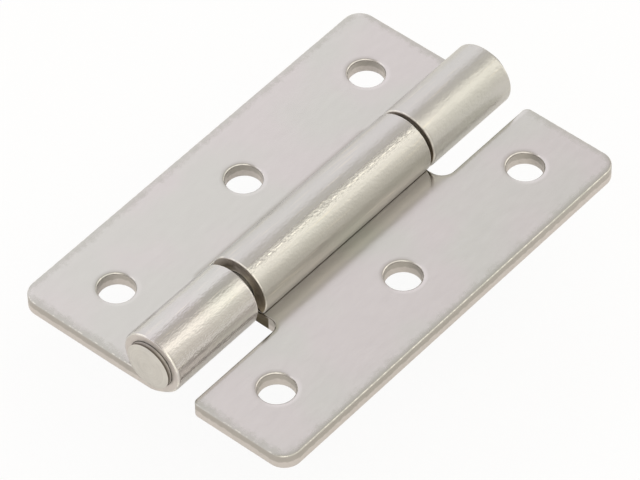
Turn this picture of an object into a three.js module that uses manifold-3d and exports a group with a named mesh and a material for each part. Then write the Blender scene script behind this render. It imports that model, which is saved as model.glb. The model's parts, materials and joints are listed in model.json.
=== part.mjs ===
// A small butt hinge in plain pressed steel: two flat leaves whose tongues are rolled round one
// riveted pin. The fixed leaf carries the two end knuckles and the moving leaf the middle one.
//
// Millimetres. X runs across the open leaves, Y along the pin and Z up. The origin is under the
// middle of the pin, on the plane of the leaves' flat backs.

import * as THREE from 'three';
import { mergeVertices } from 'three/addons/utils/BufferGeometryUtils.js';
import Module from 'manifold-3d';

const wasm = await Module();
wasm.setup();

// ---- Driving dimensions ----

const LEAF_LENGTH = 60;
const OPEN_WIDTH = 40;
const SHEET = 2;
const PIN_RADIUS = 2.05;
const PIN_CLEARANCE = 0.1;

const MOVING_LEAF_LENGTH = 59.7;
const MOVING_LEAF_SHIFT = 0.19; // where the moving leaf rests within its end play
const KNUCKLE_INSET = 0.4; // how far the end knuckles stop short of the leaf's ends

const NOTCH_EDGE = 6; // from the pin's axis to the edge that faces the other leaf
const NOTCH_NEAR = -15.83; // the fixed leaf's notch, which takes the middle knuckle
const NOTCH_FAR = 15.4;
const TONGUE_NEAR = -14.6; // the moving leaf's tongue, which is rolled into the middle knuckle
const TONGUE_FAR = 14.79;

const OUTER_CORNER = 2.3; // radii of the corners in the flat blanks
const INNER_CORNER = 0.8;
const NOTCH_FILLET = 1.2;
const FAR_FILLET = 1.8; // at the far side of the moving leaf's tongue

const SCREW_HOLE = 4.5;
const SCREW_PITCH = 22.2;
const SCREW_LINE = 12; // from the pin's axis to the line of screw holes

const LIP_GAP = 0.06; // between the rolled lip's corner and the face it comes back to
const HEAD_RADIUS = 3.05; // the pin's riveted heads
const HEAD_RIM = 0.55;
const HEAD_CROWN = 0.25;
const HEAD_GAP = 0.05;
const SEAT_RADIUS = 3.1; // the seats that riveting the heads presses into the leaf's ends

const ROLL_STEPS = 30; // three.js puts two facets in each step of an arc
const CORNER_STEPS = 12;
const PIN_SIDES = 60;
const CROWN_STEPS = 4;
const OVERRUN = 1; // how far a cutting solid runs past what it cuts

// ---- Sizes worked out from them ----

const BORE_RADIUS = PIN_RADIUS + PIN_CLEARANCE;
const KNUCKLE_RADIUS = BORE_RADIUS + SHEET;
const AXIS_HEIGHT = KNUCKLE_RADIUS;
const HALF_WIDTH = OPEN_WIDTH / 2;
const HALF_LENGTH = LEAF_LENGTH / 2;
const KNUCKLE_END = HALF_LENGTH - KNUCKLE_INSET;
const LIP_DROP = Math.asin((AXIS_HEIGHT - SHEET - LIP_GAP) / KNUCKLE_RADIUS);

const FIXED = -1; // the side of the pin that a leaf lies on, along X
const MOVING = 1;

// ---- Solids ----

function toSolid(geometry) {
  geometry.deleteAttribute('normal');
  geometry.deleteAttribute('uv');
  const merged = mergeVertices(geometry, 1e-5);
  return new wasm.Manifold(new wasm.Mesh({
    numProp: 3,
    vertProperties: merged.attributes.position.array,
    triVerts: new Uint32Array(merged.index.array),
  }));
}

function toGeometry(solid) {
  const mesh = solid.getMesh();
  const geometry = new THREE.BufferGeometry();
  geometry.setAttribute('position', new THREE.BufferAttribute(mesh.vertProperties, mesh.numProp));
  geometry.setIndex(new THREE.BufferAttribute(mesh.triVerts, 1));
  geometry.computeVertexNormals();
  return geometry;
}

// ---- The leaves ----

// The bent sheet seen along the pin: flat under the pin, up round its far side, over the top
// and down until the lip meets the leaf's own face.
function rolledSection(side) {
  const fixed = side === FIXED;
  const underPin = -Math.PI / 2;
  const lip = fixed ? Math.PI + LIP_DROP : -LIP_DROP - 2 * Math.PI;
  const section = new THREE.Shape();
  section.moveTo(side * HALF_WIDTH, 0);
  section.lineTo(0, 0);
  section.absarc(0, AXIS_HEIGHT, KNUCKLE_RADIUS, underPin, lip, !fixed);
  section.absarc(0, AXIS_HEIGHT, BORE_RADIUS, lip, underPin, fixed);
  section.lineTo(side * HALF_WIDTH, SHEET);
  section.closePath();
  return section;
}

function bentSheet(side) {
  const depth = LEAF_LENGTH + 2 * OVERRUN;
  const geometry = new THREE.ExtrudeGeometry(rolledSection(side), {
    depth,
    bevelEnabled: false,
    curveSegments: ROLL_STEPS,
  });
  geometry.translate(0, 0, -depth / 2);
  geometry.rotateX(Math.PI / 2);
  return toSolid(geometry);
}

// A closed outline through [x, y, radius] corners, each a true quarter arc or, at 0, sharp.
function roundedOutline(corners) {
  const outline = new THREE.Shape();
  corners.forEach(([x, y, radius], i) => {
    const corner = new THREE.Vector2(x, y);
    const before = new THREE.Vector2(...corners.at(i - 1)).sub(corner).normalize();
    const after = new THREE.Vector2(...corners[(i + 1) % corners.length]).sub(corner).normalize();
    const start = corner.clone().addScaledVector(before, radius);
    if (i === 0) outline.moveTo(start.x, start.y);
    else outline.lineTo(start.x, start.y);
    if (radius === 0) return;
    const centre = start.clone().addScaledVector(after, radius);
    const clockwise = before.cross(after) > 0;
    outline.absarc(
      centre.x, centre.y, radius,
      Math.atan2(-after.y, -after.x), Math.atan2(-before.y, -before.x), clockwise,
    );
  });
  outline.closePath();
  return outline;
}

function punchScrewHoles(outline, side, shift) {
  for (const row of [-1, 0, 1]) {
    const hole = new THREE.Path();
    hole.absarc(
      side * SCREW_LINE, row * SCREW_PITCH + shift, SCREW_HOLE / 2, 0, 2 * Math.PI, false,
    );
    outline.holes.push(hole);
  }
}

// The blank as a tall prism, so that it keeps its outline round the roll.
function blankPrism(outline) {
  const geometry = new THREE.ExtrudeGeometry(outline, {
    depth: 2 * AXIS_HEIGHT + 2 * OVERRUN,
    bevelEnabled: false,
    curveSegments: CORNER_STEPS,
  });
  geometry.translate(0, 0, -OVERRUN);
  return toSolid(geometry);
}

function leaf(side, outline, shift) {
  punchScrewHoles(outline, side, shift);
  return bentSheet(side).intersect(blankPrism(outline));
}

// All of the roll beyond both knuckle ends, and the seats of the pin's heads.
function knuckleTrim() {
  const past = KNUCKLE_RADIUS + OVERRUN;
  const top = 2 * AXIS_HEIGHT + OVERRUN;
  const underLip = SHEET + LIP_GAP / 2;
  const depth = 2 * OVERRUN; // a whole number, so that the seats and the trim end on one plane
  const section = new THREE.Shape([
    [0, -OVERRUN], [past, -OVERRUN], [past, top], [-past, top], [-past, underLip], [0, underLip],
  ].map(([x, z]) => new THREE.Vector2(x, z)));
  const geometry = new THREE.ExtrudeGeometry(section, { depth, bevelEnabled: false });
  geometry.rotateX(Math.PI / 2);
  const seat = toSolid(new THREE.CylinderGeometry(SEAT_RADIUS, SEAT_RADIUS, depth, PIN_SIDES));
  const far = toSolid(geometry).translate([0, KNUCKLE_END + depth, 0])
    .add(seat.translate([0, KNUCKLE_END + depth / 2, AXIS_HEIGHT]));
  return far.add(far.translate([0, -2 * KNUCKLE_END - depth, 0]));
}

// The end knuckles are nearly as long as the leaf, with the notch between them.
function fixedLeaf() {
  const edge = -NOTCH_EDGE;
  const pastRoll = KNUCKLE_RADIUS + OVERRUN;
  const blank = leaf(FIXED, roundedOutline([
    [-HALF_WIDTH, -HALF_LENGTH, OUTER_CORNER],
    [pastRoll, -HALF_LENGTH, 0],
    [pastRoll, NOTCH_NEAR, 0],
    [edge, NOTCH_NEAR, NOTCH_FILLET],
    [edge, NOTCH_FAR, NOTCH_FILLET],
    [pastRoll, NOTCH_FAR, 0],
    [pastRoll, HALF_LENGTH, 0],
    [-HALF_WIDTH, HALF_LENGTH, OUTER_CORNER],
  ]), 0);
  return toGeometry(blank.subtract(knuckleTrim()));
}

// The middle knuckle stands out between two open notches, which clear the end knuckles.
function movingLeaf() {
  const pastRoll = -KNUCKLE_RADIUS - OVERRUN;
  const near = MOVING_LEAF_SHIFT - MOVING_LEAF_LENGTH / 2;
  const far = MOVING_LEAF_SHIFT + MOVING_LEAF_LENGTH / 2;
  return toGeometry(leaf(MOVING, roundedOutline([
    [HALF_WIDTH, near, OUTER_CORNER],
    [HALF_WIDTH, far, OUTER_CORNER],
    [NOTCH_EDGE, far, INNER_CORNER],
    [NOTCH_EDGE, TONGUE_FAR, FAR_FILLET],
    [pastRoll, TONGUE_FAR, 0],
    [pastRoll, TONGUE_NEAR, 0],
    [NOTCH_EDGE, TONGUE_NEAR, NOTCH_FILLET],
    [NOTCH_EDGE, near, INNER_CORNER],
  ]), MOVING_LEAF_SHIFT));
}

// ---- The pin ----

// Half of the pin's outline, turned about Y: a low crown, its rim and the shank up to the middle.
function pinOutline() {
  const seat = KNUCKLE_END + HEAD_GAP;
  const rim = seat + HEAD_RIM;
  const crown = new THREE.EllipseCurve(
    0, -rim, HEAD_RADIUS, HEAD_CROWN, -Math.PI / 2, 0, false,
  ).getPoints(CROWN_STEPS);
  crown[0].x = 0;
  const near = [
    ...crown,
    new THREE.Vector2(HEAD_RADIUS, -seat),
    new THREE.Vector2(PIN_RADIUS, -seat),
  ];
  const far = near.map(({ x, y }) => new THREE.Vector2(x, -y)).reverse();
  return [...near, ...far];
}

function rivetedPin() {
  return toGeometry(toSolid(new THREE.LatheGeometry(pinOutline(), PIN_SIDES)));
}

// ---- The hinge ----

function addPiece(group, name, geometry, look) {
  const mesh = new THREE.Mesh(geometry, new THREE.MeshStandardMaterial(look));
  mesh.name = name;
  group.add(mesh);
  return mesh;
}

const hinge = new THREE.Group();
addPiece(hinge, 'fixed_leaf', fixedLeaf(), { color: 0xd1cdcb, roughness: 0.35, metalness: 1 });
addPiece(hinge, 'moving_leaf', movingLeaf(), { color: 0xcfccc8, roughness: 0.35, metalness: 1 });
const pinLook = { color: 0xc4c0bc, roughness: 0.4, metalness: 1 };
const pin = addPiece(hinge, 'hinge_pin', rivetedPin(), pinLook);
pin.position.z = AXIS_HEIGHT;

export default hinge;
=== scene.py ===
# %% [markdown]
# # A pressed butt hinge, modelled as it is made
#
# The hinge is three pieces: two leaves punched from 2 mm stainless sheet, whose tongues are
# rolled into knuckles, and one pin that is riveted over at both ends. This lesson makes each
# piece in the order that a workshop does. The leaf is punched as a flat blank, its edges are
# worn round, and only then is its tongue rolled. Rolling last is what gives a knuckle its soft
# rims, because the worn edge of the flat blank is carried round with it.
#
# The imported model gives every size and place. Opening it first means that a piece made here
# needs no fitting: a point in the model is the same point in this scene, in metres.

# %% Open the frame
import json
import math
from types import SimpleNamespace

import bpy
from mathutils import Matrix, Vector


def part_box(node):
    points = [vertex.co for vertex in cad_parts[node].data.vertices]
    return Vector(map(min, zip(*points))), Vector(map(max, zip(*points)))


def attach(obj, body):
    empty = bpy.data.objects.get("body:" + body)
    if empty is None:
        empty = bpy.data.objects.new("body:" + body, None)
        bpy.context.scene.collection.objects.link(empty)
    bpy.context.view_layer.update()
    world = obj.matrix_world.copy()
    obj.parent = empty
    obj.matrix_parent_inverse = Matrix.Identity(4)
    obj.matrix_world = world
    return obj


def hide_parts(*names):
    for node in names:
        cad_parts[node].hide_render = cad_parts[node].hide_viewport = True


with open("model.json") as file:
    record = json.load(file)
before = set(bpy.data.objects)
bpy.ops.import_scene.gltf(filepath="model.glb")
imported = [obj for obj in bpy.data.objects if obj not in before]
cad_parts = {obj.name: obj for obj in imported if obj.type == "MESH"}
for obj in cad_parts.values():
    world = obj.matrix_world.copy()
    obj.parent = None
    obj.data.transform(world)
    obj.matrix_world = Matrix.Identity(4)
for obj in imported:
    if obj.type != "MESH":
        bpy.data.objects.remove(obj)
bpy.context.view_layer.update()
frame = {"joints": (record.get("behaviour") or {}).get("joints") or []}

# %% [markdown]
# ## Sizes
#
# Lengths that the frame knows are read from it, such as the boxes of the pieces and the height
# of the pin's axis. The few that a box can't tell are written here once, in millimetres, and
# turned to metres by one factor. Everything below is worked out from these names, so a change
# of sheet or pin needs one edit.

# %% Read and name the sizes
MM = 0.001
fixed_low, fixed_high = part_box("fixed_leaf")
moving_low, moving_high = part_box("moving_leaf")
pin_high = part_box("hinge_pin")[1]
AXIS = frame["joints"][0]["pos_m"][2]

SHEET = 2 * MM
KNUCKLE_RADIUS = AXIS
NOTCH_EDGE = 6 * MM
NOTCH_SIDES = (-15.83 * MM, 15.4 * MM)
TONGUE_SIDES = (-14.6 * MM, 14.79 * MM)
KNUCKLE_INSET = 0.4 * MM
OUTER_CORNER = 2.3 * MM
INNER_CORNER = 0.8 * MM
NOTCH_FILLET = 1.2 * MM
FAR_FILLET = 1.8 * MM
HOLE_RADIUS = 2.25 * MM
HOLE_PITCH = 22.2 * MM
HOLE_LINE = 12 * MM
LIP_GAP = 0.06 * MM
FIXED, MOVING = -1, 1
print(f"sheet {SHEET / MM:g} mm, knuckle {2 * KNUCKLE_RADIUS / MM:.1f} mm across")

# %% [markdown]
# ## The camera
#
# A long lens from well back keeps the leaves' edges almost parallel, as in a catalogue. The
# camera is placed by three angles round a point near the middle of the pin: how far round it
# stands, how high, and a small roll. Building its rotation from a look direction is safer than
# typing Euler angles, because the direction can be read and checked.

# %% Place the camera
LOOK_AT = Vector((2.42, -3.2, 4.15)) * MM
CAMERA_AROUND = math.radians(41.3)
CAMERA_UP = math.radians(47.56)
CAMERA_ROLL = math.radians(-1.23)
CAMERA_DISTANCE = 0.623
CAMERA_LENS = 305.7

towards_camera = Vector((
    math.sin(CAMERA_AROUND) * math.cos(CAMERA_UP),
    -math.cos(CAMERA_AROUND) * math.cos(CAMERA_UP),
    math.sin(CAMERA_UP),
))
bpy.ops.object.camera_add(location=LOOK_AT + towards_camera * CAMERA_DISTANCE)
camera = bpy.context.object
camera.name = "camera"
look = (-towards_camera).to_track_quat("-Z", "Y").to_matrix()
camera.rotation_euler = (look @ Matrix.Rotation(CAMERA_ROLL, 3, "Z")).to_euler()
camera.data.lens = CAMERA_LENS
camera.data.clip_start = 0.01
bpy.context.scene.camera = camera
print(f"camera {CAMERA_DISTANCE:g} m away, {CAMERA_LENS:g} mm lens")

# %% [markdown]
# ## Small helpers for working by hand, in code
#
# Every edit below has the same rhythm: go into edit mode, select some faces or edges, run an
# operator, come out. By hand the selecting is done with the mouse. In code it is done by a
# test on each face or edge, such as "its centre is at the end of the tongue". One helper
# clears the selection and applies such a test, so that each step reads as one line.

# %% Selection and editing helpers
CLOSE = 0.002 * MM


def use(piece):
    """Leaves one object selected and active, as a click on it does."""
    bpy.ops.object.select_all(action="DESELECT")
    piece.select_set(True)
    bpy.context.view_layer.objects.active = piece


def select(piece, mode, test):
    """Selects the faces, edges or vertices that pass a test, and opens edit mode."""
    use(piece)
    bpy.ops.object.mode_set(mode="EDIT")
    bpy.ops.mesh.select_mode(type=mode)
    bpy.ops.mesh.select_all(action="DESELECT")
    bpy.ops.object.mode_set(mode="OBJECT")
    parts = {"FACE": "polygons", "EDGE": "edges", "VERT": "vertices"}[mode]
    chosen = [part for part in getattr(piece.data, parts) if test(part)]
    for part in chosen:
        part.select = True
    bpy.ops.object.mode_set(mode="EDIT")
    return len(chosen)


def done():
    """Closes edit mode."""
    bpy.ops.object.mode_set(mode="OBJECT")


def everything(part):
    return True


def edge_middle(piece, edge):
    a, b = (piece.data.vertices[i].co for i in edge.vertices)
    return (a + b) / 2


def settle(piece):
    """Puts the piece's place and turn into its mesh, so that its object sits at the origin."""
    use(piece)
    bpy.ops.object.transform_apply(location=True, rotation=True, scale=True)


def apply_modifier(piece, kind, **settings):
    """Adds a modifier, sets it and applies it."""
    use(piece)
    modifier = piece.modifiers.new(kind.lower(), kind)
    for name, value in settings.items():
        setattr(modifier, name, value)
    bpy.ops.object.modifier_apply(modifier=modifier.name)


def triangles(piece):
    return sum(len(face.vertices) - 2 for face in piece.data.polygons)


# %% [markdown]
# ## The flat blanks
#
# A press punches each leaf from flat sheet in one stroke: a rectangle with round corners, a
# step or a notch that leaves the tongues standing, and three screw holes. Here the blank
# starts as a plane of the leaf's outer size. Bisecting it along the notch's lines and deleting
# the cells inside the notch leaves the outline with no hand-typed points. The tongues are left
# long, past the place where the roll starts, and are cut to length when the edges are worn.

# %% Cut the notches into a sheet
TONGUE_STOCK = 5 * MM
FLAT_ANGLE = math.radians(1)


def cut_line(piece, place, across):
    """Bisects the whole blank along one straight line."""
    select(piece, "FACE", everything)
    bpy.ops.mesh.bisect(plane_co=place, plane_no=across, threshold=CLOSE)
    done()


def remove_notch(piece, side, low, high):
    """Deletes the cells between two lines, on the pin's side of the notch edge."""
    def in_notch(face):
        return side * face.center.x < NOTCH_EDGE and low < face.center.y < high

    select(piece, "FACE", in_notch)
    bpy.ops.mesh.delete(type="FACE")
    done()


def flat_outline(name, side, outer, near, far, lines, notches):
    """A flat sheet with the leaf's outline: its free edge at outer and its notches cut."""
    end = -side * TONGUE_STOCK
    bpy.ops.mesh.primitive_plane_add(size=1, location=((outer + end) / 2, (near + far) / 2, 0))
    piece = bpy.context.object
    piece.name = name
    piece.scale = (abs(outer - end), far - near, 1)
    settle(piece)
    cut_line(piece, (side * NOTCH_EDGE, 0, 0), (1, 0, 0))
    for line in lines:
        cut_line(piece, (0, line, 0), (0, 1, 0))
    for low, high in notches:
        remove_notch(piece, side, low, high)
    select(piece, "EDGE", everything)
    bpy.ops.mesh.dissolve_limited(angle_limit=FLAT_ANGLE)
    done()
    return piece


fixed_leaf = flat_outline(
    "rolled_end_leaf", FIXED, fixed_low.x, fixed_low.y, fixed_high.y,
    NOTCH_SIDES, [NOTCH_SIDES],
)
moving_leaf = flat_outline(
    "rolled_middle_leaf", MOVING, moving_high.x, moving_low.y, moving_high.y,
    TONGUE_SIDES, [(-1, TONGUE_SIDES[0]), (TONGUE_SIDES[1], 1)],
)
for leaf in (fixed_leaf, moving_leaf):
    print(leaf.name, "has", len(leaf.data.vertices), "corners")

# %% [markdown]
# ## Round corners
#
# A press tool with a sharp corner would soon crack there, so every corner of a leaf is an arc.
# Bevelling a vertex, and not an edge, turns a corner of a flat outline into that arc. All the
# arcs in the notches are tighter than those outside. The one on the far side of the middle
# tongue is a little wider than its neighbours, perhaps from a worn tool.

# %% Round the corners of the blanks
CORNER_SEGMENTS = 14


def round_corners(piece, radius, places):
    """Turns the outline's corners at these places into arcs."""
    def at_place(vertex):
        return any((vertex.co.xy - Vector(place)).length < CLOSE for place in places)

    select(piece, "VERT", at_place)
    bpy.ops.mesh.bevel(offset=radius, segments=CORNER_SEGMENTS, affect="VERTICES")
    done()


fixed_ends = (fixed_low.y, fixed_high.y)
moving_ends = (moving_low.y, moving_high.y)
round_corners(fixed_leaf, OUTER_CORNER, [(fixed_low.x, y) for y in fixed_ends])
round_corners(fixed_leaf, NOTCH_FILLET, [(FIXED * NOTCH_EDGE, y) for y in NOTCH_SIDES])
round_corners(moving_leaf, OUTER_CORNER, [(moving_high.x, y) for y in moving_ends])
round_corners(moving_leaf, INNER_CORNER, [(NOTCH_EDGE, y) for y in moving_ends])
round_corners(moving_leaf, NOTCH_FILLET, [(NOTCH_EDGE, TONGUE_SIDES[0])])
round_corners(moving_leaf, FAR_FILLET, [(NOTCH_EDGE, TONGUE_SIDES[1])])
print("outlines have", len(fixed_leaf.data.vertices), "and",
      len(moving_leaf.data.vertices), "points")

# %% [markdown]
# ## Cuts that the later steps need
#
# A tongue's long straight sides get points along them, so that their wear can grow towards the
# roll. The blank is also cut along the lines that its holes will stand on. Each hole then opens
# where four faces meet, and no face has to run round a hole, which a mesh face can't do.

# %% Divide the straight sides and cut through the hole lines
STRAIGHT_CUTS = 24
LONG_SIDE = 5 * MM
HOLE_ROWS = (-1, 0, 1)


def divide_straights(piece):
    """Adds points along the straight sides of the tongues, where their wear will grow."""
    def long_and_level(edge):
        a, b = (piece.data.vertices[i].co for i in edge.vertices)
        return abs(a.y - b.y) < CLOSE and abs(a.x - b.x) > LONG_SIDE

    select(piece, "EDGE", long_and_level)
    bpy.ops.mesh.subdivide(number_cuts=STRAIGHT_CUTS)
    done()


def cut_at_holes(piece, side, low, high):
    """Cuts the blank along the lines that its holes will stand on."""
    cut_line(piece, (side * HOLE_LINE, 0, 0), (1, 0, 0))
    for row in HOLE_ROWS:
        cut_line(piece, (0, (low + high) / 2 + row * HOLE_PITCH, 0), (0, 1, 0))


for leaf, side, ends in ((fixed_leaf, FIXED, fixed_ends), (moving_leaf, MOVING, moving_ends)):
    divide_straights(leaf)
    cut_at_holes(leaf, side, *ends)
    print(leaf.name, "is cut into", len(leaf.data.polygons), "faces")

# %% [markdown]
# ## Thickness and screw holes
#
# Extruding the outline gives the sheet its thickness. The holes could be drawn into the
# outline, but a Boolean with three cylinders is closer to what the punch does, and keeps each
# hole a true circle whatever the outline is. The cylinder stands well out on both sides of the
# sheet, because a Boolean is unsure where two faces lie exactly on each other.

# %% Give the sheet its thickness and punch the holes
HOLE_SEGMENTS = 72
PUNCH_LENGTH = 4 * SHEET


def thicken(piece):
    select(piece, "FACE", everything)
    bpy.ops.mesh.extrude_region_move(TRANSFORM_OT_translate={"value": (0, 0, SHEET)})
    done()
    select(piece, "FACE", everything)
    bpy.ops.mesh.normals_make_consistent(inside=False)
    done()


def punch_hole(piece, x, y):
    bpy.ops.mesh.primitive_cylinder_add(
        vertices=HOLE_SEGMENTS, radius=HOLE_RADIUS, depth=PUNCH_LENGTH,
        location=(x, y, SHEET / 2),
    )
    punch = bpy.context.object
    apply_modifier(piece, "BOOLEAN", operation="DIFFERENCE", object=punch, solver="EXACT")
    bpy.data.objects.remove(punch)


for leaf, side, (low, high) in (
    (fixed_leaf, FIXED, fixed_ends), (moving_leaf, MOVING, moving_ends),
):
    thicken(leaf)
    for row in HOLE_ROWS:
        punch_hole(leaf, side * HOLE_LINE, (low + high) / 2 + row * HOLE_PITCH)
    print(leaf.name, "punched:", len(leaf.data.polygons), "faces")

# %% [markdown]
# ## Worn edges
#
# Punching drags the sheet's face down a little beside every cut, the die roll, and tumbling
# then rounds the edge itself. The die roll is made with insets that each step the face up by
# less than the last, which leaves a shallow dome-shaped border. The edge itself is a bevel.
# A Bevel modifier alone would give every edge the same small round and no die roll, and it is
# the wide, soft border that makes pressed sheet look pressed.

# %% Round the front edges of a blank
DIE_ROLL = ((0.30, 0.030), (0.20, 0.012), (0.20, 0.004))  # width and rise of each inset, in mm
EDGE_RADIUS = 0.2 * MM
EDGE_SEGMENTS = 4
SHARP_ANGLE = math.radians(60)
SQUARE_ON = 0.99


def roll_down_face(piece):
    """Insets the top face in steps, each lifted a little less than the one before."""
    drop = sum(rise for _, rise in DIE_ROLL) * MM
    select(piece, "VERT", lambda vertex: vertex.co.z > SHEET / 2)
    bpy.ops.transform.translate(value=(0, 0, -drop))
    done()
    select(piece, "FACE", lambda face: face.normal.z > SQUARE_ON)
    for width, rise in DIE_ROLL:
        bpy.ops.mesh.inset(thickness=width * MM, depth=rise * MM, use_even_offset=True)
    done()
    return drop


def sharp_edges(piece, test):
    """The edges that turn sharply and whose middle passes a test."""
    normals = {}
    for face in piece.data.polygons:
        for key in face.edge_keys:
            normals.setdefault(key, []).append(face.normal.copy())

    def chosen(edge):
        pair = normals[edge.key]
        sharp = len(pair) == 2 and pair[0].angle(pair[1]) > SHARP_ANGLE
        return sharp and test(edge_middle(piece, edge))

    return chosen


def wear(piece, radius, test):
    select(piece, "EDGE", sharp_edges(piece, test))
    bpy.ops.mesh.bevel(
        offset=radius, segments=EDGE_SEGMENTS, affect="EDGES", clamp_overlap=True,
    )
    done()


for leaf in (fixed_leaf, moving_leaf):
    top = SHEET - roll_down_face(leaf)
    wear(leaf, EDGE_RADIUS, lambda middle: abs(middle.z - top) < CLOSE)
    print(leaf.name, "front worn:", triangles(leaf), "triangles")

# %% [markdown]
# ## The back's edges
#
# The back of a tongue becomes the outside of the roll, so its edges end up as the rims of the
# knuckles, which are worn much rounder than the plate's own back. One bevel has to do both, or
# a step would show between them. A Bevel modifier can scale its width by a weight on each
# edge. The weight starts low on the plate and grows in steps as a tongue nears the roll.

# %% Round the back edges of a blank
BACK_RADIUS = 0.14 * MM
RIM_RADIUS = 0.42 * MM
RIM_SEGMENTS = 6
RIM_STEPS = 7
RIM_START, RIM_END = 4.6 * MM, 0.8 * MM


def wear_back(piece, side):
    """Rounds the back's edges: a little on the plate, and more towards the tongues."""
    def weigh(line, weight):
        def this_side(middle):
            return abs(middle.z) < CLOSE and side * middle.x < line

        select(piece, "EDGE", sharp_edges(piece, this_side))
        bpy.ops.transform.edge_bevelweight(value=weight)
        done()

    plate_weight = BACK_RADIUS / RIM_RADIUS
    weigh(1, plate_weight)
    for step in range(RIM_STEPS):
        line = RIM_START + (RIM_END - RIM_START) * step / (RIM_STEPS - 1)
        weigh(line, (1 - plate_weight) / RIM_STEPS)
    apply_modifier(
        piece, "BEVEL", limit_method="WEIGHT", width=RIM_RADIUS, segments=RIM_SEGMENTS,
    )


for leaf, side in ((fixed_leaf, FIXED), (moving_leaf, MOVING)):
    wear_back(leaf, side)
    print(leaf.name, "back worn:", triangles(leaf), "triangles")

# %% [markdown]
# ## Rolling the knuckles
#
# The press pushes each tongue into a curled die, and the sheet climbs round the pin until its
# lip meets the leaf again. The Spin operator does exactly this to a face: it carries the
# tongue's end face round the pin's axis and leaves a wall behind it. The tongue is first cut
# off square under the axis, and that cut is filled, so that Spin has a true section to carry.

# %% Cut the tongues to length and roll them
ROLL_STEPS = 100
LIP_DROP = math.asin((AXIS - SHEET - LIP_GAP) / KNUCKLE_RADIUS)
ROLL_ANGLE = 1.5 * math.pi + LIP_DROP


def cut_to_length(piece, side):
    select(piece, "FACE", everything)
    bpy.ops.mesh.bisect(
        plane_co=(0, 0, 0), plane_no=(side, 0, 0), use_fill=True, clear_inner=True,
        threshold=CLOSE,
    )
    done()


def roll_tongue(piece, side):
    def at_end(face):
        return side * face.normal.x < -SQUARE_ON and abs(face.center.x) < CLOSE

    count = select(piece, "FACE", at_end)
    bpy.ops.mesh.spin(
        steps=ROLL_STEPS, angle=ROLL_ANGLE, center=(0, 0, AXIS), axis=(0, -side, 0),
    )
    done()
    return count


for leaf, side in ((fixed_leaf, FIXED), (moving_leaf, MOVING)):
    cut_to_length(leaf, side)
    rolled = roll_tongue(leaf, side)
    print(leaf.name, "rolled", rolled, "faces:", triangles(leaf), "triangles")

# %% [markdown]
# ## The ends of the outer knuckles
#
# The outer knuckles stop a little short of the leaf's ends, which leaves room for the pin's
# heads within the leaf's length. A step would show as a notch, so the roll narrows over its
# first 30 degrees. The vertices near an end are moved in by a tenth of the way at a time, and
# each time only those that lie further round the roll than the time before.

# %% Narrow the outer knuckles
INSET_STEPS = 10
INSET_ROLL = math.radians(30)
INSET_REACH = 1.2 * MM


def narrow_rolls(piece, side, ends):
    """Draws a roll's outer ends in, a little at each step of its first part."""
    def rolled_angle(place):
        return math.atan2(-side * place.x, AXIS - place.z) % (2 * math.pi)

    for step in range(INSET_STEPS):
        begins = INSET_ROLL * (step + 0.5) / INSET_STEPS
        for end in ends:
            def beyond(vertex):
                near_end = abs(vertex.co.y - end) < INSET_REACH
                flat = side * vertex.co.x > -CLOSE and vertex.co.z < SHEET + LIP_GAP / 2
                return near_end and not flat and rolled_angle(vertex.co) > begins

            select(piece, "VERT", beyond)
            inward = -math.copysign(KNUCKLE_INSET / INSET_STEPS, end)
            bpy.ops.transform.translate(value=(0, inward, 0))
            done()


narrow_rolls(fixed_leaf, FIXED, fixed_ends)
print(f"outer knuckles stop {KNUCKLE_INSET / MM:g} mm short of the leaf's ends")

# %% [markdown]
# ## The lips
#
# The lip is the sheared end of the tongue, so its edges get the same light wear. Before that,
# the doubled vertices that the spin leaves are merged and the normals are recalculated,
# because a spin can leave a shape inside out. Counting the edges that don't have two faces
# shows whether the leaf is still a closed solid.

# %% Wear the lips
LIP_RADIUS = 0.12 * MM
LIP_SEGMENTS = 3


def at_lip(piece, side):
    """A test for the edges of the flat end of the rolled tongue."""
    across = Vector((math.sin(LIP_DROP), 0, side * math.cos(LIP_DROP)))

    def chosen(edge):
        ends = [piece.data.vertices[i].co - Vector((0, 0, AXIS)) for i in edge.vertices]
        return all(abs(end.dot(across)) < CLOSE and side * end.x > 0 for end in ends)

    return chosen


def finish_mesh(piece):
    select(piece, "VERT", everything)
    bpy.ops.mesh.remove_doubles(threshold=CLOSE / 10)
    bpy.ops.mesh.normals_make_consistent(inside=False)
    done()


def open_edges(piece):
    """How many edges don't have exactly two faces; a closed piece has none."""
    count = {}
    for face in piece.data.polygons:
        for key in face.edge_keys:
            count[key] = count.get(key, 0) + 1
    return sum(1 for n in count.values() if n != 2)


for leaf, side in ((fixed_leaf, FIXED), (moving_leaf, MOVING)):
    finish_mesh(leaf)
    lip_edges = select(leaf, "EDGE", at_lip(leaf, side))
    bpy.ops.mesh.bevel(
        offset=LIP_RADIUS, segments=LIP_SEGMENTS, affect="EDGES", clamp_overlap=True,
    )
    done()
    finish_mesh(leaf)
    print(leaf.name, "lip edges", lip_edges, "open edges", open_edges(leaf))

# %% [markdown]
# ## Seats for the rivet heads
#
# Upsetting the pin presses each head against the knuckle and a little into the flat sheet
# under it, which leaves a shallow round seat at each end of the leaf. It could be modelled
# with a bevelled inset, but it is the print of a round tool, so a Boolean with a cylinder
# gives its true shape.

# %% Press the seats
SEAT_RADIUS = 3.1 * MM
SEAT_SEGMENTS = 96
ALONG_PIN = (math.radians(90), 0, 0)


def press_seat(piece, end):
    """Sinks the round seat of a rivet head into one end of a leaf."""
    middle = end - math.copysign(KNUCKLE_INSET - SHEET, end)
    bpy.ops.mesh.primitive_cylinder_add(
        vertices=SEAT_SEGMENTS, radius=SEAT_RADIUS, depth=2 * SHEET,
        location=(0, middle, AXIS), rotation=ALONG_PIN,
    )
    punch = bpy.context.object
    apply_modifier(piece, "BOOLEAN", operation="DIFFERENCE", object=punch, solver="EXACT")
    bpy.data.objects.remove(punch)


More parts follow.
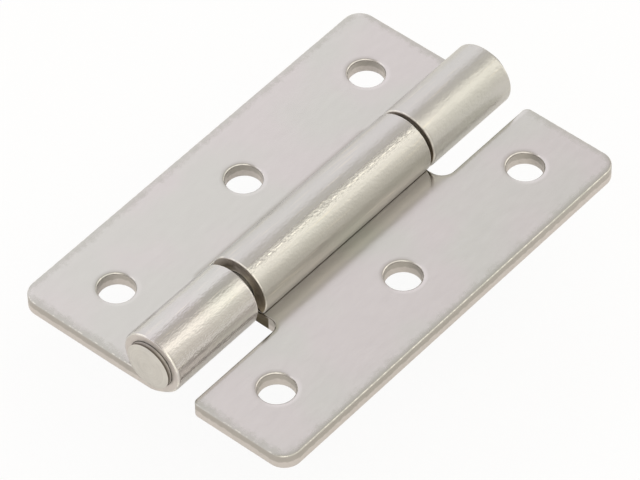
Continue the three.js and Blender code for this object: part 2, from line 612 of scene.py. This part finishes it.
for end in fixed_ends:
    press_seat(fixed_leaf, end)
print(f"seats pressed, {2 * SEAT_RADIUS / MM:g} mm across")

# %% [markdown]
# ## Shading the leaves
#
# Smooth shading is cut at sharp angles, and a Weighted Normal modifier gives the large flats
# full say over the normals at their borders. They stay flat, and only the bevels and the rolls
# shade as curves.

# %% Set the shading of the leaves
SMOOTH_ANGLE = math.radians(40)
FLATS_WEIGHT = 60


def shade(piece):
    use(piece)
    bpy.ops.object.shade_smooth_by_angle(angle=SMOOTH_ANGLE)
    apply_modifier(piece, "WEIGHTED_NORMAL", keep_sharp=True, weight=FLATS_WEIGHT)


for leaf in (fixed_leaf, moving_leaf):
    finish_mesh(leaf)
    shade(leaf)
    print(leaf.name, "finished:", triangles(leaf), "triangles, open edges", open_edges(leaf))

# %% [markdown]
# ## The pin
#
# The pin is wire, cut a little long. Its ends are upset after the hinge is assembled: a punch
# with a hollow face is spun against the end until the metal spreads into a low crown wider
# than the bore. Starting from a cylinder, each end is spread, drawn out to the head's
# thickness and crowned with a chain of extrudes and insets. The circles that the spinning
# punch leaves are insets too, each raised or sunk by a few hundredths of a millimetre.

# %% Make the pin and upset its ends
PIN_RADIUS = 2.05 * MM
PIN_SEGMENTS = 96
HEAD_RADIUS = pin_high.x
HEAD_GAP = 0.05 * MM
HEAD_RIM = 0.55 * MM
HEAD_EDGE = 0.12 * MM
HEAD_EDGE_RISE = HEAD_EDGE * 0.6
HEAD_SEAT = fixed_high.y - KNUCKLE_INSET + HEAD_GAP
SPIN_RINGS = (  # width and rise of each inset, in mm
    (0.30, 0.050), (0.26, 0.040), (0.30, 0.020), (0.20, -0.030), (0.14, 0.034),
    (0.26, 0.012), (0.20, -0.034), (0.14, 0.036), (0.28, 0.008), (0.20, -0.034),
    (0.16, 0.034), (0.24, -0.026),
)

bpy.ops.mesh.primitive_cylinder_add(
    vertices=PIN_SEGMENTS, radius=PIN_RADIUS, depth=2 * HEAD_SEAT,
    location=(0, 0, AXIS), rotation=ALONG_PIN,
)
pin = bpy.context.object
pin.name = "riveted_pin"
settle(pin)


def upset_end(end):
    """Spreads one end of the wire into a crowned head; end is -1 or 1 along Y."""
    def wire_end(face):
        return end * face.normal.y > SQUARE_ON and end * face.center.y > 0

    select(pin, "FACE", wire_end)
    spread = HEAD_RADIUS / PIN_RADIUS
    bpy.ops.mesh.extrude_region_move(TRANSFORM_OT_translate={"value": (0, 0, 0)})
    bpy.ops.transform.resize(value=(spread, 1, spread), center_override=(0, 0, AXIS))
    bpy.ops.mesh.extrude_region_move(TRANSFORM_OT_translate={"value": (0, end * HEAD_RIM, 0)})
    bpy.ops.mesh.inset(thickness=HEAD_EDGE, depth=HEAD_EDGE_RISE)
    for width, rise in SPIN_RINGS:
        bpy.ops.mesh.inset(thickness=width * MM, depth=rise * MM)
    done()


for end in (-1, 1):
    upset_end(end)
finish_mesh(pin)
shade(pin)
print("pin:", triangles(pin), "triangles, open edges", open_edges(pin))

# %% [markdown]
# ## Shader maths as expressions
#
# A procedural finish is mostly arithmetic on masks and noises. Wired by hand it is a wall of
# Math nodes, so a small class wraps a socket and turns ordinary Python operators into those
# nodes. `1 - mask` and `noise * 0.2 + 0.5` then read as what they are.

# %% A socket that does arithmetic
class Signal:
    """One output socket of a shader, with arithmetic that adds Math nodes."""

    def __init__(self, tree, socket):
        self.tree = tree
        self.socket = socket

    def node(self, kind, settings=None, output=0, **inputs):
        """Adds any node: its settings are set first, then its inputs are set or linked."""
        node = self.tree.nodes.new(kind)
        for name, value in (settings or {}).items():
            if name == "stops":
                set_stops(node.color_ramp, value)
            else:
                setattr(node, name, value)
        for name, value in inputs.items():
            socket = find_socket(node, name)
            if isinstance(value, Signal):
                self.tree.links.new(value.socket, socket)
            else:
                socket.default_value = value
        return Signal(self.tree, node.outputs[output])

    def math(self, operation, *values):
        inputs = {f"input_{i}": value for i, value in enumerate(values)}
        return self.node("ShaderNodeMath", {"operation": operation}, **inputs)

    def __add__(self, other):
        return self.math("ADD", self, other)

    __radd__ = __add__

    def __sub__(self, other):
        return self.math("SUBTRACT", self, other)

    def __rsub__(self, other):
        return self.math("SUBTRACT", other, self)

    def __mul__(self, other):
        return self.math("MULTIPLY", self, other)

    __rmul__ = __mul__

    def __truediv__(self, other):
        return self.math("DIVIDE", self, other)

    def __abs__(self):
        return self.math("ABSOLUTE", self)

    def root(self):
        return self.math("SQRT", self)

    def least(self, other):
        return self.math("MINIMUM", self, other)

    def above(self, limit):
        return self.math("GREATER_THAN", self, limit)

    def below(self, limit):
        return self.math("LESS_THAN", self, limit)

    def ramp(self, low, high):
        """0 below low, 1 above high and a smooth rise between them."""
        return self.node(
            "ShaderNodeMapRange", {"interpolation_type": "SMOOTHSTEP"},
            Value=self, From_Min=low, From_Max=high,
        )


def set_stops(ramp, stops):
    """Gives a colour ramp these stops, as (place, colour) pairs."""
    for place, colour in stops[2:]:
        ramp.elements.new(place)
    for element, (place, colour) in zip(ramp.elements, stops):
        element.position = place
        element.color = (*colour, 1)


def find_socket(node, name):
    """An input by its name with spaces as underscores, or by its number as input_2."""
    if name.startswith("input_"):
        return node.inputs[int(name[6:])]
    wanted = name.replace("_", " ")
    return next(s for s in node.inputs if s.name == wanted and s.enabled)


def blend(start, end, amount):
    """Goes from one number to another as the amount goes from 0 to 1."""
    return start + (end - start) * amount


def mix_colour(start, end, amount):
    return amount.node(
        "ShaderNodeMix", {"data_type": "RGBA"}, 2,
        Factor=amount, input_6=start, input_7=end,
    )


def linear(red, green, blue):
    """A colour seen on a screen, 0 to 255, as the linear colour that a shader wants."""
    return tuple(((v / 255 + 0.055) / 1.055) ** 2.4 for v in (red, green, blue)) + (1,)


print("shader helpers ready")

# %% [markdown]
# ## Helpers for steel
#
# All the finishes start alike: a Principled shader that is metal all over, and the place on the
# piece, in millimetres, so that a pattern's size can be read from its numbers. Object
# coordinates fix each pattern to its piece, which then carries it along as it turns.

# %% Start a steel and draw its patterns
def start_material(name):
    """A new material with its Principled node, and its place and normal as signals, in mm."""
    material = bpy.data.materials.new(name)
    material.use_nodes = True
    tree = material.node_tree
    shader = tree.nodes["Principled BSDF"]
    shader.inputs["Metallic"].default_value = 1
    place = tree.nodes.new("ShaderNodeTexCoord")
    metres = Signal(tree, place.outputs["Object"])
    normal = Signal(tree, place.outputs["Normal"])
    return material, shader, stretched(metres, 1 / MM, 1 / MM, 1 / MM), normal


def axes_of(vector):
    """The three parts of a vector, as three signals."""
    node = vector.tree.nodes.new("ShaderNodeSeparateXYZ")
    vector.tree.links.new(vector.socket, node.inputs[0])
    return [Signal(vector.tree, output) for output in node.outputs]


def together(x, y, z):
    return x.node("ShaderNodeCombineXYZ", X=x, Y=y, Z=z)


def stretched(vector, x, y, z):
    """The place with each axis scaled, which draws a pattern out along the smaller ones."""
    return vector.node(
        "ShaderNodeVectorMath", {"operation": "MULTIPLY"}, input_0=vector, input_1=(x, y, z),
    )


def noise(vector, scale, detail=2, roughness=0.5):
    return vector.node(
        "ShaderNodeTexNoise", {"normalize": True}, Vector=vector, Scale=scale, Detail=detail,
        Roughness=roughness,
    )


def bump(height, depth, normal=None):
    """Turns a height from 0 to 1 into a tilt of the surface, depth millimetres tall."""
    more = {"Normal": normal} if normal else {}
    return height.node(
        "ShaderNodeBump", Strength=1.0, Distance=depth * MM, Height=height, **more,
    )


def connect(shader, name, signal):
    signal.tree.links.new(signal.socket, shader.inputs[name])


print("steel helpers ready")

# %% [markdown]
# ## Where a point lies on a leaf
#
# One metal has four faces on this leaf: the flats, the rolls, the walls that were sheared and
# the rims. Each could be its own material slot, but a worn edge has no hard border, so one
# material works out where each point is: on the plate or round the roll, how deep in the
# sheet, and whether it faces out or is a wall.

# %% Read a point's place on a leaf
GAP_TO_PLATE = 0.05  # in mm, as are all lengths in the finishes


def place_on_leaf(p, normal, side):
    """Signals that say where a point lies on a leaf."""
    at = SimpleNamespace(p=p)
    at.x, at.y, at.z = axes_of(p)
    nx, _, nz = axes_of(normal)
    at.across = side * at.x
    at.height = at.z - AXIS / MM
    reach = (at.x * at.x + at.height * at.height).root()
    at.plate = at.across.above(0.0) * at.z.below(SHEET / MM + GAP_TO_PLATE)
    at.rolled = 1 - at.plate
    at.depth = blend(KNUCKLE_RADIUS / MM - reach, at.z, at.plate) / (SHEET / MM)
    outward = (nx * at.x + nz * at.height) / reach
    at.facing = blend(abs(outward), abs(nz), at.plate)
    at.wall = 1 - at.facing.ramp(0.2, 0.55)
    return at


print("a leaf's places can be read")

# %% [markdown]
# ## Painted highlights and painted shade
#
# Steel that has been pressed and handled isn't even. The rims of the knuckles and the upper
# edges of the plate get painted highlights, in broken stretches. The walls in the narrow gaps
# between the rolls get painted shade, darker towards the bottom. A broken painted highlight
# line runs along the top of the middle roll. Each mark is a mask, with a noise where it breaks
# up.

# %% Masks for the painted highlights and painted shade
RIM_HIGHLIGHT_WIDTH = 0.18
GAP_BAND = (16.4, 17.0)  # along the pin, from its middle: past both gaps
GAP_SIDE = (4.25, 4.45)  # across, where the roll ends and the plate begins
GAP_SHADE_LEVEL = (2.4, 8.6)
HIGHLIGHT_LINE_ANGLE = math.radians(24)  # round the roll, from its top
HIGHLIGHT_LINE_TOP = (3.0, 3.5)


def mark_rim_highlights(at, roll_ends):
    from_rim = abs(at.y - roll_ends[0] / MM)
    for end in roll_ends[1:]:
        from_rim = from_rim.least(abs(at.y - end / MM))
    whole = (1 - from_rim.ramp(RIM_HIGHLIGHT_WIDTH * 0.5, RIM_HIGHLIGHT_WIDTH)) * at.rolled * (1 - at.wall)
    # Painted highlight: the knuckles' rims are tinted paler and less metallic, in broken
    # stretches.
    at.rim = whole * noise(at.p, 0.7, 2).ramp(0.35, 0.6)


def mark_gap_shade_and_edge_highlights(at):
    in_gap = (1 - abs(at.y).ramp(*GAP_BAND)) * (1 - at.across.ramp(*GAP_SIDE))
    # Painted shade on the walls in the gaps between the rolls, darker towards the bottom.
    at.oil = at.wall * in_gap * (1 - at.z.ramp(*GAP_SHADE_LEVEL) * 0.7)
    edge = at.facing.ramp(0.55, 0.75) * (1 - at.facing.ramp(0.90, 0.97))
    # Painted highlight along the plate's upper edges, broken up by noise.
    at.glint = edge * at.plate * noise(at.p, 1.7, 3, 0.7).ramp(0.47, 0.60)


def mark_highlight_line(at, marked):
    """The painted highlight line, on a leaf where marked is 1."""
    from_line = abs(
        at.x * math.cos(HIGHLIGHT_LINE_ANGLE) - at.height * math.sin(HIGHLIGHT_LINE_ANGLE)
    )
    broken = noise(stretched(at.p, 1.0, 0.7, 1.0), 2.2, 3, 0.7).ramp(0.44, 0.56)
    on_top = at.height.ramp(*HIGHLIGHT_LINE_TOP)
    # Painted highlight line along the top of the middle roll, broken up by noise.
    at.on_line = (1 - from_line.ramp(0.03, 0.11)) * on_top * broken * marked
    at.beside_line = (1 - from_line.ramp(0.3, 0.9)) * on_top * marked


print("masks for rims, oil, bright edges and the die's line ready")

# %% [markdown]
# ## Wear along the free edges, streaks and torn walls
#
# Handling also leaves a duller, ragged band along each free edge. Dragging the sheet round the
# die draws faint streaks on the rolls, so their noise is stretched along the pin. Some rolls
# are rougher than others and are tinted a little darker, as painted shade. A punched wall has a
# smooth part where the punch sheared the steel and a rough one, where it tore.

# %% Masks for wear, streaks and torn walls
BAND_WIDTH = (0.2, 1.3)
BAND_RAGGED = 2.2
FAR_FROM_EDGE = 10
TORN_DEPTH = (0.42, 0.56)  # as parts of the sheet
TORN_RAGGED = 0.35


def mark_band(at, side, low, high):
    """The dull band along a leaf's free edges; low and high are the leaf's box."""
    outer = (high.x if side > 0 else -low.x) / MM
    middle = (low.y + high.y) / 2 / MM
    half = (high.y - low.y) / 2 / MM
    from_edge = (outer - at.across).least(half - abs(at.y - middle))
    border = from_edge + at.rolled * FAR_FROM_EDGE
    ragged = border + (noise(at.p, 1.3, 4, 0.7) - 0.5) * BAND_RAGGED
    at.band = 1 - ragged.ramp(*BAND_WIDTH)


def mark_streaks_and_tears(at, dull_shade_range):
    """Streaks, a torn part, and the rougher rolls with painted shade, which lie past
    dull_shade_range along Y.
    """
    at.streaks = noise(stretched(at.p, 1.0, 0.05, 1.0), 2.4, 3, 0.6)
    at.dull = at.rolled * at.y.ramp(*dull_shade_range)
    torn_line = at.depth + (noise(at.p, 1.3, 3) - 0.5) * TORN_RAGGED
    at.torn = 1 - torn_line.ramp(*TORN_DEPTH)


print("masks for wear, streaks and torn walls ready")

# %% [markdown]
# ## The colour of a leaf
#
# Stainless steel is nearly neutral, with broad patches that lean a little to rose or to green.
# The marks are then laid over that one by one, the painted highlights last, as paler or greyer
# steel.
# The walls have their own two tints and their painted shade. A last faint speckle multiplies it
# all.

# %% Mix a leaf's colour
# Painted shade: the middle roll is tinted darker across this band.
CENTRE_PAINTED_SHADE = (2.6, 4.0)  # across the middle roll, on its side towards its own leaf


def colour_leaf(at, marked):
    patches = noise(at.p, 0.10, 1).ramp(0.35, 0.65)
    tint = mix_colour(linear(201, 202, 199), linear(204, 201, 201), patches)
    tint = mix_colour(tint, linear(182, 183, 177), at.band * 0.55)
    # Painted shade: the rougher rolls are also tinted a little darker.
    tint = mix_colour(tint, linear(197, 197, 195), at.dull * 0.7)
    # Painted shade on the middle roll's side towards its own leaf.
    painted_side_shade = marked * at.rolled * at.x.ramp(*CENTRE_PAINTED_SHADE)
    tint = mix_colour(tint, linear(174, 172, 166), painted_side_shade * 0.7)
    # Painted highlights: the rims, the line on the middle roll and the plate's edges turn
    # paler.
    painted_highlights = at.rim * 0.8 + at.on_line * 0.9 + at.glint * 0.5
    tint = mix_colour(tint, linear(252, 250, 244), painted_highlights)
    drawn = at.rolled * at.streaks.ramp(0.55, 0.75)
    tint = mix_colour(tint, linear(222, 217, 206), drawn * 0.5)

    walls = mix_colour(linear(178, 174, 170), linear(211, 206, 204), at.torn)
    # Painted shade on the gap walls, darkest on the plate's own walls.
    walls = mix_colour(walls, linear(148, 134, 108), at.oil * 0.9)
    walls = mix_colour(walls, linear(84, 76, 60), at.oil * at.plate)
    grey = at.clouds * 0.07 + at.grain * 0.05 + 0.94
    return grey.node(
        "ShaderNodeMix", {"data_type": "RGBA", "blend_type": "MULTIPLY"}, 2, Factor=1.0,
        input_6=mix_colour(tint, walls, at.wall), input_7=together(grey, grey, grey),
    )


print("leaf colours ready")

# %% [markdown]
# ## The gloss and relief of a leaf
#
# Colour alone leaves metal looking like paint: it is the roughness and the relief that break
# up a reflection. The rolls are a little glossier than the flats, the worn band is duller, and
# the walls are rough where they tore. The relief is a chain of Bump nodes, each of which takes
# the one before as its normal: a soft orange peel, pebbles on the rolls, streaks, a fine grain
# and the torn walls. Their depths are in millimetres, so each can be judged by itself.

# %% Set a leaf's gloss and relief
def gloss_of_leaf(at):
    rough = 0.13 - at.rolled * 0.02 + at.dull * 0.16 + at.clouds * 0.08 + at.band * 0.14
    rough = rough + at.grain * 0.04 - at.beside_line * 0.12
    return blend(rough, 0.30 + at.torn * 0.20, at.wall)


def relief_of_leaf(at):
    peel = noise(stretched(at.p, 1.0, 0.45, 1.0), 0.9, 2) * (0.3 + at.rolled)
    pebbles = noise(stretched(at.p, 1.0, 0.7, 1.0), 3.4, 2, 0.6)
    tears = noise(at.p, 3.0, 4, 0.7) * at.wall * at.torn
    tilt = bump(peel, 0.030)
    tilt = bump(pebbles * (at.rolled + at.beside_line), 0.036, tilt)
    tilt = bump(at.streaks * at.rolled, 0.022, tilt)
    tilt = bump(at.grain, 0.0012, tilt)
    return bump(tears, 0.03, tilt)


print("leaf gloss and relief ready")

# %% [markdown]
# ## Two steels from one recipe
#
# Both leaves take the same recipe. Only the moving leaf's roll has the painted highlight line
# and the painted side shade, and on the fixed leaf the far roll is duller and a little darker,
# as painted shade, so each leaf has its own few numbers.

# %% Give the leaves their steel
def leaf_steel(name, side, box, roll_ends, dull_shade_range, marked):
    """A leaf's steel; marked is 1 where the roll has the painted highlight line and painted
    side shade, and 0 where not.
    """
    material, shader, p, normal = start_material(name)
    at = place_on_leaf(p, normal, side)
    at.clouds = noise(p, 0.45, 3)
    at.grain = noise(p, 5.0, 3, 0.6)
    mark_rim_highlights(at, roll_ends)
    mark_gap_shade_and_edge_highlights(at)
    mark_highlight_line(at, marked)
    mark_band(at, side, *box)
    mark_streaks_and_tears(at, dull_shade_range)
    connect(shader, "Base Color", colour_leaf(at, marked))
    # Metallic is lowered where highlights are painted, so they show as paler, brightly lit
    # steel.
    connect(shader, "Metallic", 1 - at.rim * 0.3 - at.on_line * 0.4 - at.glint * 0.2)
    connect(shader, "Roughness", gloss_of_leaf(at))
    connect(shader, "Normal", relief_of_leaf(at))
    return material


FAR_ROLL = (-2, 2)
WHOLE_ROLL = (-60, -50)
outer_rolls = (fixed_low.y + KNUCKLE_INSET, *NOTCH_SIDES, fixed_high.y - KNUCKLE_INSET)
fixed_steel = leaf_steel(
    "fixed leaf steel", FIXED, (fixed_low, fixed_high), outer_rolls, FAR_ROLL, 0.0,
)
moving_steel = leaf_steel(
    "moving leaf steel", MOVING, (moving_low, moving_high), TONGUE_SIDES, WHOLE_ROLL, 1.0,
)
fixed_leaf.data.materials.append(fixed_steel)
moving_leaf.data.materials.append(moving_steel)
print("leaf steel has", len(fixed_steel.node_tree.nodes), "nodes")

# %% [markdown]
# ## Spun wire for the pin
#
# The pin's shank is drawn wire and is hardly seen. Its heads were spun, so their finish runs in
# circles round the pin's axis: noise read only by distance from that axis gives rings. Painted
# shade darkens the side of each head, down in the crease where it meets the knuckle.

# %% A steel finish for the pin
HEAD_SIDE = (2.6, 2.8)  # from the pin's axis, where a head's side begins
HEAD_TOP = (HEAD_SEAT + HEAD_RIM) / MM * 0.998


def pin_steel():
    material, shader, p, normal = start_material("pin steel")
    x, y, z = axes_of(p)
    along = axes_of(normal)[1]
    height = z - AXIS / MM
    reach = (x * x + height * height).root()
    rings = noise(together(reach, 0.0, 0.0), 4.5, 3, 0.6)
    clouds = noise(p, 0.9, 3)
    around_head = (1 - abs(along).ramp(0.3, 0.7)) * reach.ramp(*HEAD_SIDE)
    # Painted shade round the side of each head, in the crease where it meets the knuckle.
    crease_shade = around_head * abs(y).ramp(HEAD_SEAT / MM, HEAD_TOP)
    tone = mix_colour(linear(186, 184, 181), linear(230, 228, 225), rings * 0.6 + clouds * 0.4)
    connect(shader, "Base Color", mix_colour(tone, linear(88, 76, 64), crease_shade * 0.9))
    connect(shader, "Roughness", 0.30 + clouds * 0.12 + crease_shade * 0.3)
    connect(shader, "Normal", bump(noise(p, 3.0, 3), 0.004, bump(rings, 0.045)))
    return material


pin.data.materials.append(pin_steel())
print("pin steel has", len(pin.data.materials[0].node_tree.nodes), "nodes")

# %% [markdown]
# ## The room
#
# Satin metal shows its surroundings more than itself. The flats mirror whatever stands behind
# them to the left, and the rolls sweep that reflection right across the room, so each gap
# between two lights draws a streak along a knuckle. The room here is two long banks of soft
# light, a neutral one on the left and a warmer, stronger one on the right, with a dimmer gap
# overhead. They run along the pin, so one ramp across the room, read by the X part of a
# direction, paints both banks.

# %% Light the room
ROOM = (
    (-1.00, (1.02, 0.99, 0.98)),
    (-0.50, (1.22, 1.17, 1.17)),
    (-0.30, (0.73, 0.69, 0.65)),
    (0.02, (0.66, 0.62, 0.56)),
    (0.50, (1.78, 1.70, 1.50)),
    (0.66, (1.12, 1.07, 0.95)),
    (1.00, (0.68, 0.64, 0.56)),
)
BRIGHTEST = 2.0

world = bpy.data.worlds.new("studio")
bpy.context.scene.world = world
world.use_nodes = True
background = world.node_tree.nodes["Background"]
direction = Signal(world.node_tree, world.node_tree.nodes.new("ShaderNodeTexCoord").outputs[0])
across = axes_of(direction)[0] * 0.5 + 0.5
room = across.node(
    "ShaderNodeValToRGB",
    {"stops": [(x / 2 + 0.5, [c / BRIGHTEST for c in colour]) for x, colour in ROOM]},
    Fac=across,
)
world.node_tree.links.new(room.socket, background.inputs["Color"])
background.inputs["Strength"].default_value = BRIGHTEST
bpy.context.scene.view_settings.view_transform = "Standard"
print("room has", len(ROOM), "stops of light")

# %% [markdown]
# ## The floor
#
# The leaves can swing below their own backs, so the floor lies well under them, where the
# moving leaf never passes through it. A floor lit by this room would be a dull grey. It is
# therefore shown as plain white to the camera, with only a little of its own shading, while
# the metal still sees a lit, pale floor. Light Path tells the two apart.

# %% Lay the floor
FLOOR_SIZE = 3.0
FLOOR_DROP = 18 * MM
FLOOR_WHITE = 0.9

bpy.ops.mesh.primitive_plane_add(size=FLOOR_SIZE, location=(0, 0, -FLOOR_DROP))
floor = bpy.context.object
floor.name = "floor"
floor_material = bpy.data.materials.new("pale floor")
floor_material.use_nodes = True
floor_tree = floor_material.node_tree
floor_shader = floor_tree.nodes["Principled BSDF"]
floor_shader.inputs["Base Color"].default_value = (0.93, 0.93, 0.92, 1)
floor_shader.inputs["Roughness"].default_value = 0.9
floor_shader.inputs["Specular IOR Level"].default_value = 0.0
seen = Signal(floor_tree, floor_tree.nodes.new("ShaderNodeLightPath").outputs["Is Camera Ray"])
white = seen.node("ShaderNodeEmission", Color=(1, 1, 1, 1), Strength=1.0)
surface = seen.node(
    "ShaderNodeMixShader", input_0=seen * FLOOR_WHITE,
    input_1=Signal(floor_tree, floor_shader.outputs[0]), input_2=white,
)
floor_tree.links.new(surface.socket, floor_tree.nodes["Material Output"].inputs["Surface"])
floor.data.materials.append(floor_material)
print(f"floor lies {FLOOR_DROP / MM:g} mm below the leaves' backs")

# %% [markdown]
# ## Joining the pieces to the frame
#
# Each piece rides on the body that it moves with and stands for one node of the imported model.
# The pin is riveted into the fixed leaf's knuckles, so it rides with that leaf.

# %% Ride on the frame and finish
for piece, body, node, slot in (
    (fixed_leaf, "fixed_leaf", "fixed_leaf", "leaf_steel"),
    (moving_leaf, "moving_leaf", "moving_leaf", "leaf_steel"),
    (pin, "fixed_leaf", "hinge_pin", "pin_steel"),
):
    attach(piece, body)
    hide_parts(node)
